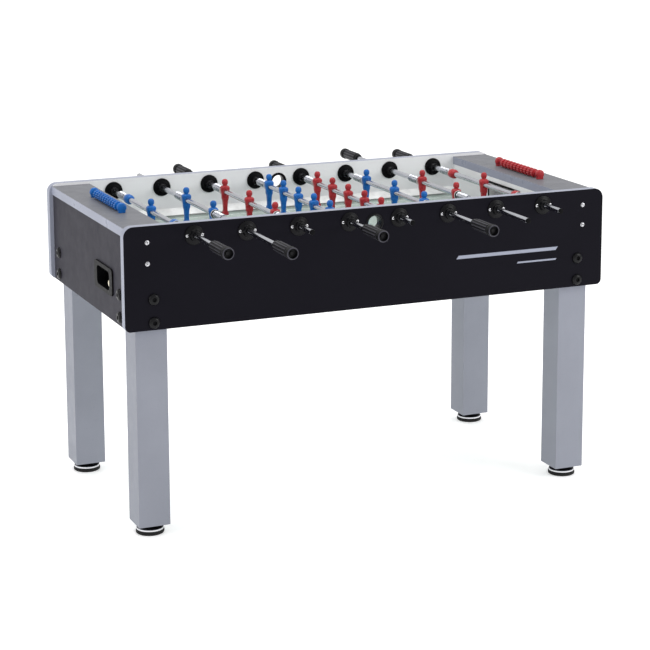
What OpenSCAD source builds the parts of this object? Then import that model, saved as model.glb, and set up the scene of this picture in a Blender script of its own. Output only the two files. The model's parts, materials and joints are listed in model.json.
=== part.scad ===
// Foosball table: a free-standing cabinet on four square legs, with eight
// sliding and turning player rods, score counters and ball return cups.
// Millimetres, +Z up, +X along the table, the near long side faces -Y.

/* [Cabinet] */

// Length of the two long side panels
table_length = 1500; // [1300:10:1600]

// Width over the outer faces of the two side panels
table_width = 770; // [700:5:840]

// Height of the side panels' top edge above the floor
panel_top = 900; // [820:5:960]

// Height of a side panel
panel_height = 294; // [280:2:320]

// Thickness of a side panel
side_thick = 26; // [20:1:30]

// Radius of a side panel's upper corners
top_corner_r = 28; // [10:1:40]

// Radius of a side panel's lower corners
bottom_corner_r = 16; // [5:1:30]

// Distance from the table's middle to an end panel's outer face
end_face_x = 738; // [735:1:740]

// Thickness of an end panel
end_thick = 25; // [18:1:26]

// Height of the end panels' and goal walls' top edge below the side panels' top
end_drop = 33; // [30:1:38]

// Thickness of a top cover board
cover_thick = 25; // [16:1:28]

// How far a top cover stands past the end panel
cover_overhang = 3; // [0:1:8]

// Width of a corner block under a top cover
block_size = 46; // [30:1:50]

/* [Field] */

// Half length of the playing field, up to a goal wall
field_half = 622; // [621:1:626]

// Playing surface below the rod axis
field_drop = 88; // [86:1:92]

// Thickness of the clear sheet over the printed board
glass_thick = 5; // [3:1:6]

// Thickness of the printed board
board_thick = 12; // [9:1:18]

// Thickness of a goal wall
goal_wall_thick = 18; // [12:1:20]

// Width of a goal opening
goal_width = 200; // [180:2:220]

// Height of a goal opening
goal_height = 71; // [60:1:76]

// Width of the banked strip along each long wall
strip_width = 24; // [16:1:26]

// Height of the banked strip at the wall
strip_height = 19; // [10:1:22]

/* [Rods] */

// Diameter of a player rod
rod_d = 16; // [12:0.5:18]

// Wall thickness of the rod tube
rod_wall = 2.5; // [1.5:0.5:3]

// Spacing between neighbouring rods
rod_pitch = 156; // [152:1:158]

// Rod axis below the side panels' top edge
rod_drop = 36; // [34:1:40]

// Radial clearance of a rod in its bearing
bearing_clear = 0.06; // [0.02:0.01:0.1]

// Radial clearance of a man or a grip on its rod
seat_clear = 0.05; // [0.02:0.01:0.1]

// Radial gap between a rod and the rings it turns inside
ring_gap = 0.4; // [0.3:0.1:0.8]

// Diameter of a bearing's flange and of its inner disc
bearing_d = 56; // [48:1:60]

// Thickness of a bearing's outer flange
flange_thick = 4; // [3:1:6]

// Diameter of a bearing's hub
hub_d = 30; // [26:1:32]

// How far a bearing's hub stands out of the side panel
hub_out = 16; // [10:1:18]

// Thickness of a bearing's inner disc
disc_thick = 9; // [6:1:10]

// Spacing of the two screws of a bearing
bearing_screw_pitch = 44; // [40:1:46]

// How far a bearing's nose stands out of its inner disc
nose_length = 12; // [8:1:13]

// Outer diameter of a rod spring
spring_d = 23; // [20:0.5:25]

// Outer diameter of a rubber bumper
bumper_d = 26; // [24:0.5:28]

// Length of a rubber bumper
bumper_length = 5; // [4:0.5:6]

// Thickness of the washer beside a bumper
washer_thick = 2; // [1:0.5:3]

// Travel of the goalie rods either side of the middle
goalie_travel = 100; // [90:1:100]

// Travel of the defence rods either side of the middle
defence_travel = 190; // [180:1:190]

// Travel of the midfield rods either side of the middle
midfield_travel = 70; // [60:1:70]

// Travel of the attack rods either side of the middle
attack_travel = 102; // [95:1:102]

/* [Men] */

// Spacing of the two defence men
defence_pitch = 238; // [230:1:240]

// Spacing of the five midfield men
midfield_pitch = 120.5; // [116:0.5:121]

// Spacing of the three attack men
attack_pitch = 209; // [200:1:210]

// Width of a man over the shoulders, along the rod
man_width = 26; // [22:1:28]

// Depth of a man's chest, across the rod
man_depth = 26; // [22:1:28]

// Height of the middle of a man's head above the rod axis
head_rise = 26.5; // [24:0.5:28]

// Diameter of a man's head
head_d = 19; // [17:0.5:21]

// Height of a man's head
head_height = 24; // [22:1:26]

// Depth of a man's foot sole below the rod axis
foot_drop = 74; // [68:1:75]

// Width of a man's foot along the rod
foot_width = 18; // [16:1:22]

// Length of a man's foot across the rod
foot_length = 20; // [16:1:22]

// Distance of a goalie rod's stop collars from its man
collar_reach = 210; // [200:1:212]

// Length of a stop collar
collar_length = 30; // [24:1:32]

// Diameter of a stop collar
collar_d = 29.5; // [27:0.5:31]

/* [Handles] */

// Length of a handle
grip_length = 122; // [105:1:135]

// Size of the twelve-sided part of a handle
grip_d = 32; // [30:0.5:34]

// Diameter of a handle's end knob
knob_d = 35; // [34:0.5:40]

// Length of a handle's end knob
knob_length = 20; // [17:1:28]

// Depth of the hole that takes the rod
grip_bore_depth = 80; // [60:1:85]

/* [Legs] */

// Side of a square leg
leg_side = 92; // [80:1:96]

// Height of the adjustable feet under the legs
foot_height = 30; // [28:1:34]

// Diameter of a foot's rubber pad
pad_d = 82; // [70:1:86]

// Diameter of a foot's threaded stem
stem_d = 12; // [10:1:16]

// Diameter of a leg bolt's cap
cap_d = 33; // [28:1:36]

// Height of a leg bolt's cap
cap_height = 8; // [5:1:10]

/* [Score counters] */

// Distance between a counter's two end posts
counter_span = 266; // [262:1:284]

// Diameter of a score bead
bead_d = 27; // [23:0.5:28]

// Length of a score bead
bead_length = 22; // [18:0.5:23]

// Number of beads on a counter
bead_count = 10; // [8:1:10]

// Diameter of an end post's round top
post_d = 30; // [28:0.5:34]

/* [Ball] */

// Diameter of the hole through a ball entry cup
entry_hole_d = 40; // [38:0.5:44]

// Diameter of a ball entry cup's outer ring
entry_ring_d = 56; // [50:1:60]

// Width of a ball return cup's mouth
mouth_width = 116; // [100:1:124]

// Height of a ball return cup's mouth
mouth_height = 54; // [46:1:56]

// Distance of a return cup's middle from the table's middle line
cup_offset = 163; // [160:1:180]

/* [Part] */

// Which sub-part to show

/* [Hidden] */

$fn = 96;

TEAM_BLUE = [0.08, 0.33, 0.75];
TEAM_RED = [0.80, 0.15, 0.18];
BLACK = [0.07, 0.07, 0.08];
STEEL = [0.78, 0.79, 0.81];

RODS = [
    "blue_goalie", "blue_defence", "red_attack", "blue_midfield",
    "red_midfield", "blue_attack", "red_defence", "red_goalie"
];

// Kinds of rod: 0 goalie, 1 defence, 2 midfield, 3 attack
ROD_KIND = [0, 1, 3, 2, 2, 3, 1, 0];

// Side of each rod's handle: -1 near, 1 far
ROD_SIDE = [-1, -1, 1, -1, 1, -1, 1, 1];

// Where each rod rests, from the middle
ROD_REST = [-10, 7, 4, -2, -19, -16, -7, -7];

MEN_COUNT = [1, 2, 5, 3];
MEN_PITCH = [0, defence_pitch, midfield_pitch, attack_pitch];
TRAVEL = [goalie_travel, defence_travel, midfield_travel, attack_travel];

// Room between a handle and its bearing when the rod is pushed right in
GRIP_ROOM = [25, 19, 23, 31];

// Length of a rod's plain end still inside the bearing at full travel
STUB_HOLD = 3;

half_width = table_width / 2;
wall_y = half_width - side_thick;
panel_bottom = panel_top - panel_height;
end_top = panel_top - end_drop;
end_inner_x = end_face_x - end_thick;
rod_z = panel_top - rod_drop;
field_z = rod_z - field_drop;
board_top = field_z - glass_thick;
board_bottom = board_top - board_thick;
cover_top = end_top + cover_thick;
goal_back_x = field_half + goal_wall_thick;

rod_r = rod_d / 2;
hub_tip_y = half_width + hub_out;
disc_face_y = wall_y - disc_thick;
nose_tip_y = disc_face_y - nose_length;
nose_tip_r = rod_r + 3;
tube_r = hub_d / 2 - 1;
hole_gap = 0.3;
eps = 1;

// Leg centres
leg_x = end_inner_x - leg_side / 2;
leg_y = wall_y - leg_side / 2;

// Leg bolt places: side panel x and heights, end panel y and heights
side_bolt_x = leg_x - 1;
side_bolt_z = [panel_bottom + 87, panel_bottom + 21];
end_bolt_y = leg_y - 9;
end_bolt_z = [panel_bottom + 90, panel_bottom + 25];
bolt_r = 4;
bolt_side_length = 60;
bolt_end_length = 58;

// Corner screw places on the side panels
corner_screw_x = end_inner_x - 31;
corner_screw_z = [panel_top - 46, panel_top - 106];
corner_screw_r = 3;
corner_screw_length = 55;
corner_head_r = 5;
corner_head_height = 3;
corner_washer_r = 6.5;
corner_washer_height = 1;

bearing_screw_r = 2;
bearing_screw_length = 24;
bearing_screw_head_r = 4.5;
bearing_screw_head_height = 2.6;

entry_z = panel_top - 46;
entry_wall = 3;
entry_ring_thick = 4;
entry_collar_thick = 2;

cup_z = panel_bottom + 110;
cup_wall = 2;
cup_corner_r = 12;
cup_depth = 60;
bezel_width = 170;
bezel_height = 78;
bezel_thick = 5;
bezel_corner_r = 14;

ramp_thick = 4;
ramp_low_y = -(cup_offset - mouth_width / 2 - cup_wall);
ramp_high_y = goal_width / 2 + 25;
ramp_low_z = cup_z + mouth_height / 2 + cup_wall + 2;
ramp_high_z = field_z - 8;
ramp_end_height = 20;

stem_rise = 65;
stem_gap = 0.4;
pad_height = 12;
collar_top_z = 17;
cone_top_z = 26;
nut_d = 30;

counter_x = end_inner_x - 39;
counter_z = cover_top + bead_d / 2 + 0.5;
counter_rod_r = 3;
post_thick = 14;
post_foot_width = 20;
spigot_r = 3;

plug_rim = 4;
plug_insert = 15;

grip_collar_d = 26;
grip_collar_length = 9;
knob_groove_d = 29;
knob_groove_length = 4;
knob_recess_d = 26;
knob_recess_depth = 12;

function rod_x(i) = (i - 3.5) * rod_pitch;
function stop_face(kind) = kind == 0
    ? collar_reach + collar_length / 2
    : (MEN_COUNT[kind] - 1) / 2 * MEN_PITCH[kind] + man_width / 2;
function handle_start(kind) = hub_tip_y + TRAVEL[kind] + GRIP_ROOM[kind];
function stub_end(kind) = half_width + STUB_HOLD + TRAVEL[kind];
function man_y(kind, k) = (k - (MEN_COUNT[kind] - 1) / 2) * MEN_PITCH[kind];
function stack_end(kind) = nose_tip_y - TRAVEL[kind] - 0.5;

// A round bar along Y from y0 to y1
module bar_y(y0, y1, r) {
    translate([0, y0, 0])
        rotate([-90, 0, 0])
            cylinder(h = y1 - y0, r = r);
}

// A round bar along X from x0 to x1
module bar_x(x0, x1, r) {
    translate([x0, 0, 0])
        rotate([0, 90, 0])
            cylinder(h = x1 - x0, r = r);
}

// A cone along Y: radius r0 at y0 and r1 at y1
module cone_y(y0, y1, r0, r1) {
    translate([0, y0, 0])
        rotate([-90, 0, 0])
            cylinder(h = y1 - y0, r1 = r0, r2 = r1);
}

// A ring around the Y axis
module ring_y(y0, y1, r_out, r_in) {
    difference() {
        bar_y(y0, y1, r_out);
        bar_y(y0 - eps, y1 + eps, r_in);
    }
}

// A block given by its two opposite corners
module block(low, high) {
    translate(low)
        cube(high - low);
}

// A centred rectangle with four equal round corners
module rounded_rect(width, height, r) {
    square([width - 2 * r, height], center = true);
    square([width, height - 2 * r], center = true);
    for (sx = [-1, 1])
        for (sy = [-1, 1])
            translate([sx * (width / 2 - r), sy * (height / 2 - r)])
                circle(r = r);
}

// ---- Cabinet ----

// Outline of a side panel, seen from its long side
module side_outline() {
    half = table_length / 2;
    translate([-half + top_corner_r, panel_bottom])
        square([table_length - 2 * top_corner_r, panel_height]);
    translate([-half, panel_bottom + bottom_corner_r])
        square([table_length, panel_height - top_corner_r - bottom_corner_r]);
    translate([-half + bottom_corner_r, panel_bottom])
        square([table_length - 2 * bottom_corner_r, top_corner_r]);
    for (s = [-1, 1]) {
        translate([s * (half - top_corner_r), panel_top - top_corner_r])
            circle(r = top_corner_r);
        translate([s * (half - bottom_corner_r), panel_bottom + bottom_corner_r])
            circle(r = bottom_corner_r);
    }
}

// Holes of a side panel, seen from its long side
module side_holes() {
    for (i = [0:7])
        translate([rod_x(i), rod_z]) {
            circle(r = tube_r + hole_gap);
            for (s = [-1, 1])
                translate([s * bearing_screw_pitch / 2, 0])
                    circle(r = bearing_screw_r + hole_gap);
        }
    translate([0, entry_z])
        circle(r = entry_hole_d / 2 + entry_wall + hole_gap);
    for (s = [-1, 1]) {
        for (z = side_bolt_z)
            translate([s * side_bolt_x, z])
                circle(r = bolt_r + hole_gap);
        for (z = corner_screw_z)
            translate([s * corner_screw_x, z])
                circle(r = corner_screw_r + hole_gap);
    }
}

module side_panel() {
    color([0.14, 0.14, 0.16])
        translate([0, -wall_y, 0])
            rotate([90, 0, 0])
                linear_extrude(side_thick)
                    difference() {
                        side_outline();
                        side_holes();
                    }
}

module near_side_panel() {
    side_panel();
}

module far_side_panel() {
    rotate([0, 0, 180])
        side_panel();
}

// The left end panel: the right one is the same, turned half round
module end_panel() {
    color([0.30, 0.30, 0.32])
        difference() {
            block([-end_face_x, -wall_y, panel_bottom], [-end_inner_x, wall_y, end_top]);
            translate([-end_face_x - eps, -cup_offset, cup_z])
                rotate([90, 0, 90])
                    linear_extrude(end_thick + 2 * eps)
                        rounded_rect(
                            mouth_width + 2 * cup_wall + 2 * hole_gap,
                            mouth_height + 2 * cup_wall + 2 * hole_gap,
                            cup_corner_r + cup_wall + hole_gap
                        );
            for (s = [-1, 1])
                for (z = end_bolt_z)
                    translate([0, s * end_bolt_y, z])
                        bar_x(-end_face_x - eps, -end_inner_x + eps, bolt_r + hole_gap);
        }
}

module left_end_panel() {
    end_panel();
}

module right_end_panel() {
    rotate([0, 0, 180])
        end_panel();
}

module top_covers() {
    color([0.52, 0.53, 0.55])
        for (s = [-1, 1])
            difference() {
                block(
                    [min(s * field_half, s * (end_face_x + cover_overhang)), -wall_y, end_top],
                    [max(s * field_half, s * (end_face_x + cover_overhang)), wall_y, cover_top]
                );
                for (t = [-1, 1])
                    translate([
                        s * counter_x,
                        t * counter_span / 2,
                        end_top - eps
                    ])
                        cylinder(h = cover_thick + 2 * eps, r = spigot_r + hole_gap);
            }
}

// Blocks that tie the side panels, end panels and covers together
module corner_blocks() {
    color([0.80, 0.72, 0.58])
        for (sx = [-1, 1])
            for (sy = [-1, 1])
                difference() {
                    translate([
                        sx * (end_inner_x - block_size / 2),
                        sy * (wall_y - block_size / 2),
                        (field_z + end_top) / 2
                    ])
                        cube([block_size, block_size, end_top - field_z], center = true);
                    for (z = corner_screw_z)
                        translate([sx * corner_screw_x, 0, z])
                            bar_y(
                                sy * half_width - corner_screw_length,
                                sy * half_width + corner_screw_length,
                                corner_screw_r + hole_gap
                            );
                }
}

module goal_walls() {
    color([0.88, 0.88, 0.87])
        for (s = [-1, 1])
            difference() {
                block(
                    [min(s * field_half, s * goal_back_x), -wall_y, field_z],
                    [max(s * field_half, s * goal_back_x), wall_y, end_top]
                );
                block(
                    [min(s * field_half, s * goal_back_x) - eps, -goal_width / 2, field_z - eps],
                    [max(s * field_half, s * goal_back_x) + eps, goal_width / 2, field_z + goal_height]
                );
            }
}

// ---- Field ----

module playfield_glass() {
    color([0.70, 0.80, 0.78, 0.6])
        block([-goal_back_x, -wall_y, board_top], [goal_back_x, wall_y, field_z]);
}

module playfield_board() {
    color([0.68, 0.74, 0.72])
        block([-goal_back_x, -wall_y, board_bottom], [goal_back_x, wall_y, board_top]);
}

module side_strips() {
    strip_lip = 1;
    color([0.90, 0.90, 0.90])
        for (s = [-1, 1])
            translate([-field_half, 0, 0])
                rotate([90, 0, 90])
                    linear_extrude(2 * field_half)
                        polygon([
                            [s * (wall_y - strip_width), field_z],
                            [s * wall_y, field_z],
                            [s * wall_y, field_z + strip_height],
                            [s * (wall_y - strip_width), field_z + strip_lip]
                        ]);
}

// ---- Ball handling ----

// The left ramp: it takes a ball from the goal down to the left return cup
module return_ramp() {
    translate([-end_inner_x, 0, 0])
        rotate([90, 0, 90])
            linear_extrude(end_inner_x - goal_back_x)
                polygon([
                    [ramp_low_y, ramp_low_z - ramp_thick],
                    [ramp_high_y, ramp_high_z - ramp_thick],
                    [ramp_high_y, ramp_high_z + ramp_end_height],
                    [ramp_high_y - ramp_thick, ramp_high_z + ramp_end_height],
                    [ramp_high_y - ramp_thick, ramp_high_z],
                    [ramp_low_y, ramp_low_z]
                ]);
}

module ball_return_ramps() {
    color([0.75, 0.75, 0.74]) {
        return_ramp();
        rotate([0, 0, 180])
            return_ramp();
    }
}

// A moulded cup with a bezel: its roof is open behind the end panel
module return_cup() {
    difference() {
        union() {
            translate([-end_face_x - bezel_thick, -cup_offset, cup_z])
                rotate([90, 0, 90])
                    linear_extrude(bezel_thick)
                        rounded_rect(bezel_width, bezel_height, bezel_corner_r);
            translate([-end_face_x, -cup_offset, cup_z])
                rotate([90, 0, 90])
                    linear_extrude(end_thick + cup_depth)
                        rounded_rect(
                            mouth_width + 2 * cup_wall,
                            mouth_height + 2 * cup_wall,
                            cup_corner_r + cup_wall
                        );
        }
        translate([-end_face_x - bezel_thick - eps, -cup_offset, cup_z])
            rotate([90, 0, 90])
                linear_extrude(bezel_thick + eps + end_thick + cup_depth - cup_wall)
                    rounded_rect(mouth_width, mouth_height, cup_corner_r);
        block(
            [
                -end_inner_x + cup_wall,
                -cup_offset - mouth_width / 2 + cup_corner_r,
                cup_z
            ],
            [
                -end_inner_x + cup_depth - cup_wall,
                -cup_offset + mouth_width / 2 - cup_corner_r,
                cup_z + mouth_height
            ]
        );
    }
}

module ball_return_cups() {
    color(BLACK) {
        return_cup();
        rotate([0, 0, 180])
            return_cup();
    }
}

module ball_entry_cups() {
    color(BLACK)
        for (s = [-1, 1])
            translate([0, 0, entry_z])
                rotate([0, 0, s < 0 ? 0 : 180])
                    difference() {
                        union() {
                            bar_y(
                                -half_width - entry_ring_thick,
                                -half_width,
                                entry_ring_d / 2
                            );
                            bar_y(-half_width, -wall_y, entry_hole_d / 2 + entry_wall);
                            bar_y(-wall_y, -wall_y + entry_collar_thick, entry_ring_d / 2);
                        }
                        bar_y(
                            -half_width - 2 * entry_ring_thick,
                            -wall_y + 2 * entry_collar_thick,
                            entry_hole_d / 2
                        );
                    }
}

// ---- Bearings and fasteners ----

// A near bearing: an outer flanged hub with a tube and a nose, and an inner disc
module bearing() {
    bore_r = rod_r + bearing_clear;
    difference() {
        union() {
            bar_y(-half_width - flange_thick, -half_width, bearing_d / 2);
            bar_y(-hub_tip_y, -half_width, hub_d / 2);
            bar_y(-half_width, -disc_face_y, tube_r);
            cone_y(-disc_face_y, -nose_tip_y, tube_r, nose_tip_r);
        }
        bar_y(-hub_tip_y - eps, -nose_tip_y + eps, bore_r);
        for (s = [-1, 1])
            translate([s * bearing_screw_pitch / 2, 0, 0])
                bar_y(
                    -half_width - flange_thick - eps,
                    -half_width + eps,
                    bearing_screw_r + hole_gap
                );
    }
    ring_y(-wall_y, -disc_face_y, bearing_d / 2, tube_r + seat_clear);
}

module rod_bearings() {
    color(BLACK)
        for (a = [0, 180])
            rotate([0, 0, a])
                for (i = [0:7])
                    translate([rod_x(i), 0, rod_z])
                        bearing();
}

// A small screw: its head stands on y = 0 and points to -Y
module bearing_screw() {
    bar_y(-bearing_screw_head_height, 0, bearing_screw_head_r);
    bar_y(0, bearing_screw_length, bearing_screw_r);
}

module corner_screw() {
    bar_y(-corner_washer_height, 0, corner_washer_r);
    bar_y(-corner_washer_height - corner_head_height, 0, corner_head_r);
    bar_y(0, corner_screw_length, corner_screw_r);
}

module panel_screws() {
    color(STEEL)
        for (a = [0, 180])
            rotate([0, 0, a]) {
                for (i = [0:7])
                    for (s = [-1, 1])
                        translate([
                            rod_x(i) + s * bearing_screw_pitch / 2,
                            -half_width - flange_thick,
                            rod_z
                        ])
                            bearing_screw();
                for (s = [-1, 1])
                    for (z = corner_screw_z)
                        translate([s * corner_screw_x, -half_width, z])
                            corner_screw();
            }
}

// A leg bolt: its cap stands on z = 0 and has a six-sided socket
module leg_bolt(length) {
    socket_d = 12;
    socket_depth = 5;
    difference() {
        cylinder(h = cap_height, r = cap_d / 2);
        translate([0, 0, cap_height - socket_depth])
            cylinder(h = socket_depth + eps, r = socket_d / 2, $fn = 6);
    }
    translate([0, 0, -length])
        cylinder(h = length, r = bolt_r);
}

module leg_bolts() {
    color(BLACK)
        for (sx = [-1, 1])
            for (sy = [-1, 1]) {
                for (z = side_bolt_z)
                    translate([sx * side_bolt_x, sy * half_width, z])
                        rotate([-sy * 90, 0, 0])
                            leg_bolt(bolt_side_length);
                for (z = end_bolt_z)
                    translate([sx * end_face_x, sy * end_bolt_y, z])
                        rotate([0, sx * 90, 0])
                            leg_bolt(bolt_end_length);
            }
}

// ---- Legs and feet ----

module leg(sx, sy) {
    color([0.62, 0.62, 0.63])
        difference() {
            translate([sx * leg_x, sy * leg_y, (foot_height + board_bottom) / 2])
                cube([leg_side, leg_side, board_bottom - foot_height], center = true);
            translate([sx * leg_x, sy * leg_y, foot_height - eps])
                cylinder(h = stem_rise + 15, r = stem_d / 2 + stem_gap);
            for (z = side_bolt_z)
                translate([sx * side_bolt_x, sy * half_width, z])
                    rotate([sy * 90, 0, 0])
                        cylinder(h = bolt_side_length + eps, r = bolt_r + hole_gap);
            for (z = end_bolt_z)
                translate([sx * end_face_x, sy * end_bolt_y, z])
                    rotate([0, -sx * 90, 0])
                        cylinder(h = bolt_end_length + eps, r = bolt_r + hole_gap);
        }
}

module front_left_leg() {
    leg(-1, -1);
}

module front_right_leg() {
    leg(1, -1);
}

module rear_left_leg() {
    leg(-1, 1);
}

module rear_right_leg() {
    leg(1, 1);
}

// A levelling foot: rubber pad, metal ring, cone, nut and stem
module foot(sx, sy) {
    ring_r = pad_d / 2 - 3;
    color([0.20, 0.20, 0.21])
        translate([sx * leg_x, sy * leg_y, 0]) {
            cylinder(h = pad_height, r = pad_d / 2);
            translate([0, 0, pad_height])
                cylinder(h = collar_top_z - pad_height, r = ring_r);
            translate([0, 0, collar_top_z])
                cylinder(h = cone_top_z - collar_top_z, r1 = ring_r, r2 = nut_d / 2);
            translate([0, 0, cone_top_z])
                cylinder(h = foot_height - cone_top_z, r = nut_d / 2, $fn = 6);
            translate([0, 0, foot_height])
                cylinder(h = stem_rise, r = stem_d / 2);
        }
}

module front_left_foot() {
    foot(-1, -1);
}

module front_right_foot() {
    foot(1, -1);
}

module rear_left_foot() {
    foot(-1, 1);
}

module rear_right_foot() {
    foot(1, 1);
}

// ---- Score counters ----

// One counter: a thin bar held between two round-topped posts
module counter_frame(s) {
    translate([s * counter_x, 0, 0]) {
        translate([0, 0, counter_z])
            bar_y(-counter_span / 2, counter_span / 2, counter_rod_r);
        for (t = [-1, 1])
            translate([0, t * counter_span / 2, 0]) {
                translate([0, 0, counter_z])
                    bar_y(-post_thick / 2, post_thick / 2, post_d / 2 - 1.5);
                translate([0, 0, counter_z + 1])
                    bar_y(-post_thick / 2 + 2, post_thick / 2 - 2, post_d / 2);
                block(
                    [-post_foot_width / 2, -post_thick / 2, cover_top],
                    [post_foot_width / 2, post_thick / 2, counter_z]
                );
                translate([0, 0, end_top])
                    cylinder(h = cover_thick + eps, r = spigot_r);
            }
    }
}

module score_counter_frames() {
    color(BLACK)
        for (s = [-1, 1])
            counter_frame(s);
}

// A row of ribbed beads on one counter's bar
module score_beads(s) {
    rib = 0.62;
    rim = 2.6;
    translate([s * counter_x, -bead_count * bead_length / 2, counter_z])
        for (k = [0:bead_count - 1])
            translate([0, k * bead_length, 0])
                difference() {
                    union() {
                        bar_y(0, bead_length, bead_d / 2 - rim);
                        bar_y(
                            bead_length * (1 - rib) / 2,
                            bead_length * (1 + rib) / 2,
                            bead_d / 2
                        );
                    }
                    bar_y(-eps, bead_length + eps, counter_rod_r + ring_gap);
                }
}

module blue_score_beads() {
    color(TEAM_BLUE)
        score_beads(-1);
}

module red_score_beads() {
    color(TEAM_RED)
        score_beads(1);
}

// ---- Rods ----

// Put something on rod i, in the rod's own frame
module on_rod(i) {
    translate([rod_x(i), ROD_REST[i], rod_z])
        children();
}

// Turn something made for a far handle to the rod's own handle side
module handle_side(i) {
    rotate([0, 0, ROD_SIDE[i] < 0 ? 180 : 0])
        children();
}

module player_rod(i) {
    kind = ROD_KIND[i];
    color(STEEL)
        on_rod(i)
            handle_side(i)
                ring_y(
                    -stub_end(kind) + plug_rim,
                    handle_start(kind) + grip_bore_depth,
                    rod_r,
                    rod_r - rod_wall
                );
}

// A handle: collar, twelve-sided grip and hollow knob; and the far end's plug
module rod_handle(i) {
    kind = ROD_KIND[i];
    color(BLACK)
        on_rod(i)
            handle_side(i) {
                translate([0, handle_start(kind), 0])
                    grip();
                bar_y(-stub_end(kind), -stub_end(kind) + plug_rim, rod_r);
                bar_y(
                    -stub_end(kind) + plug_rim,
                    -stub_end(kind) + plug_rim + plug_insert,
                    rod_r - rod_wall - seat_clear
                );
            }
}

module grip() {
    knob_y = grip_length - knob_length;
    difference() {
        union() {
            bar_y(0, grip_collar_length, grip_collar_d / 2);
            translate([0, grip_collar_length, 0])
                rotate([-90, 15, 0])
                    cylinder(
                        h = knob_y - knob_groove_length - grip_collar_length,
                        r = grip_d / 2,
                        $fn = 12
                    );
            bar_y(knob_y - knob_groove_length, knob_y, knob_groove_d / 2);
            bar_y(knob_y, grip_length, knob_d / 2);
        }
        bar_y(-eps, grip_bore_depth, rod_r + seat_clear);
        bar_y(grip_length - knob_recess_depth, grip_length + eps, knob_recess_d / 2);
    }
}

// Outline of a man seen along X, the rod axis at the origin
module man_front() {
    shoulder = man_width / 2;
    chest_top = head_rise - 8;
    neck = 7;
    hip = 16;
    leg_half = foot_width / 2;
    polygon([
        [-neck, chest_top],
        [-shoulder + 2, chest_top - 3],
        [-shoulder, chest_top - 7],
        [-shoulder, -hip],
        [-leg_half, -hip - 16],
        [-leg_half + 1, -foot_drop + 12],
        [-leg_half, -foot_drop + 10],
        [-leg_half, -foot_drop],
        [leg_half, -foot_drop],
        [leg_half, -foot_drop + 10],
        [leg_half - 1, -foot_drop + 12],
        [leg_half, -hip - 16],
        [shoulder, -hip],
        [shoulder, chest_top - 7],
        [shoulder - 2, chest_top - 3],
        [neck, chest_top]
    ]);
}

// Outline of a man seen along the rod
module man_side() {
    chest = man_depth / 2;
    chest_top = head_rise - 8;
    hip = 16;
    ankle = 6.5;
    toe = foot_length / 2;
    polygon([
        [-chest + 5, chest_top],
        [-chest, 8],
        [-chest, -hip],
        [-ankle - 2, -hip - 18],
        [-ankle, -foot_drop + 14],
        [-toe, -foot_drop + 6],
        [-toe, -foot_drop],
        [toe, -foot_drop],
        [toe, -foot_drop + 6],
        [ankle, -foot_drop + 14],
        [ankle + 2, -hip - 18],
        [chest, -hip],
        [chest, 8],
        [chest - 5, chest_top]
    ]);
}

module man_head() {
    neck_to_crown = head_height - head_d;
    for (t = [-1, 1])
        translate([0, 0, head_rise + t * neck_to_crown / 2])
            sphere(r = head_d / 2);
    translate([0, 0, head_rise - neck_to_crown / 2])
        cylinder(h = neck_to_crown, r = head_d / 2);
}

module man() {
    difference() {
        union() {
            intersection() {
                rotate([90, 0, 90])
                    linear_extrude(2 * man_depth, center = true)
                        man_front();
                rotate([90, 0, 0])
                    linear_extrude(2 * man_width, center = true)
                        man_side();
            }
            man_head();
        }
        bar_y(-man_width, man_width, rod_r + seat_clear);
    }
}

module rod_players(i) {
    kind = ROD_KIND[i];
    is_blue = ROD_SIDE[i] < 0;
    color(is_blue ? TEAM_BLUE : TEAM_RED)
        on_rod(i) {
            for (k = [0:MEN_COUNT[kind] - 1])
                translate([0, man_y(kind, k), 0])
                    man();
            if (kind == 0)
                for (s = [-1, 1])
                    translate([0, s * collar_reach, 0])
                        ring_y(
                            -collar_length / 2,
                            collar_length / 2,
                            collar_d / 2,
                            rod_r + seat_clear
                        );
        }
}

// Washer, rubber bumper and spring at each end of the men: they slide with the
// rod and stay still while it turns; the spring is pressed solid
module rod_bumpers(i) {
    kind = ROD_KIND[i];
    stack_gap = 0.1;
    bore_r = rod_r + ring_gap;
    washer_start = stop_face(kind) + hole_gap;
    bumper_start = washer_start + washer_thick + stack_gap;
    spring_start = bumper_start + bumper_length + stack_gap;
    color(BLACK)
        on_rod(i)
            for (a = [0, 180])
                rotate([0, 0, a]) {
                    ring_y(washer_start, washer_start + washer_thick, bumper_d / 2 + 1, bore_r);
                    ring_y(bumper_start, bumper_start + bumper_length, bumper_d / 2, bore_r);
                    ring_y(spring_start, stack_end(kind), spring_d / 2, bore_r);
                }
}

near_side_panel();
far_side_panel();
left_end_panel();
right_end_panel();
top_covers();
corner_blocks();
goal_walls();
playfield_glass();
playfield_board();
side_strips();
ball_return_ramps();
ball_return_cups();
ball_entry_cups();
rod_bearings();
panel_screws();
leg_bolts();
front_left_leg();
front_right_leg();
rear_left_leg();
rear_right_leg();
score_counter_frames();
front_left_foot();
front_right_foot();
rear_left_foot();
rear_right_foot();
blue_score_beads();
red_score_beads();
for (i = [0:7]) {
    player_rod(i);
    rod_players(i);
    rod_handle(i);
    rod_bumpers(i);
}
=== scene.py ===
import json
from math import cos, exp, pi, radians, sin

import bmesh
import bpy
from mathutils import Matrix, Vector

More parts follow.
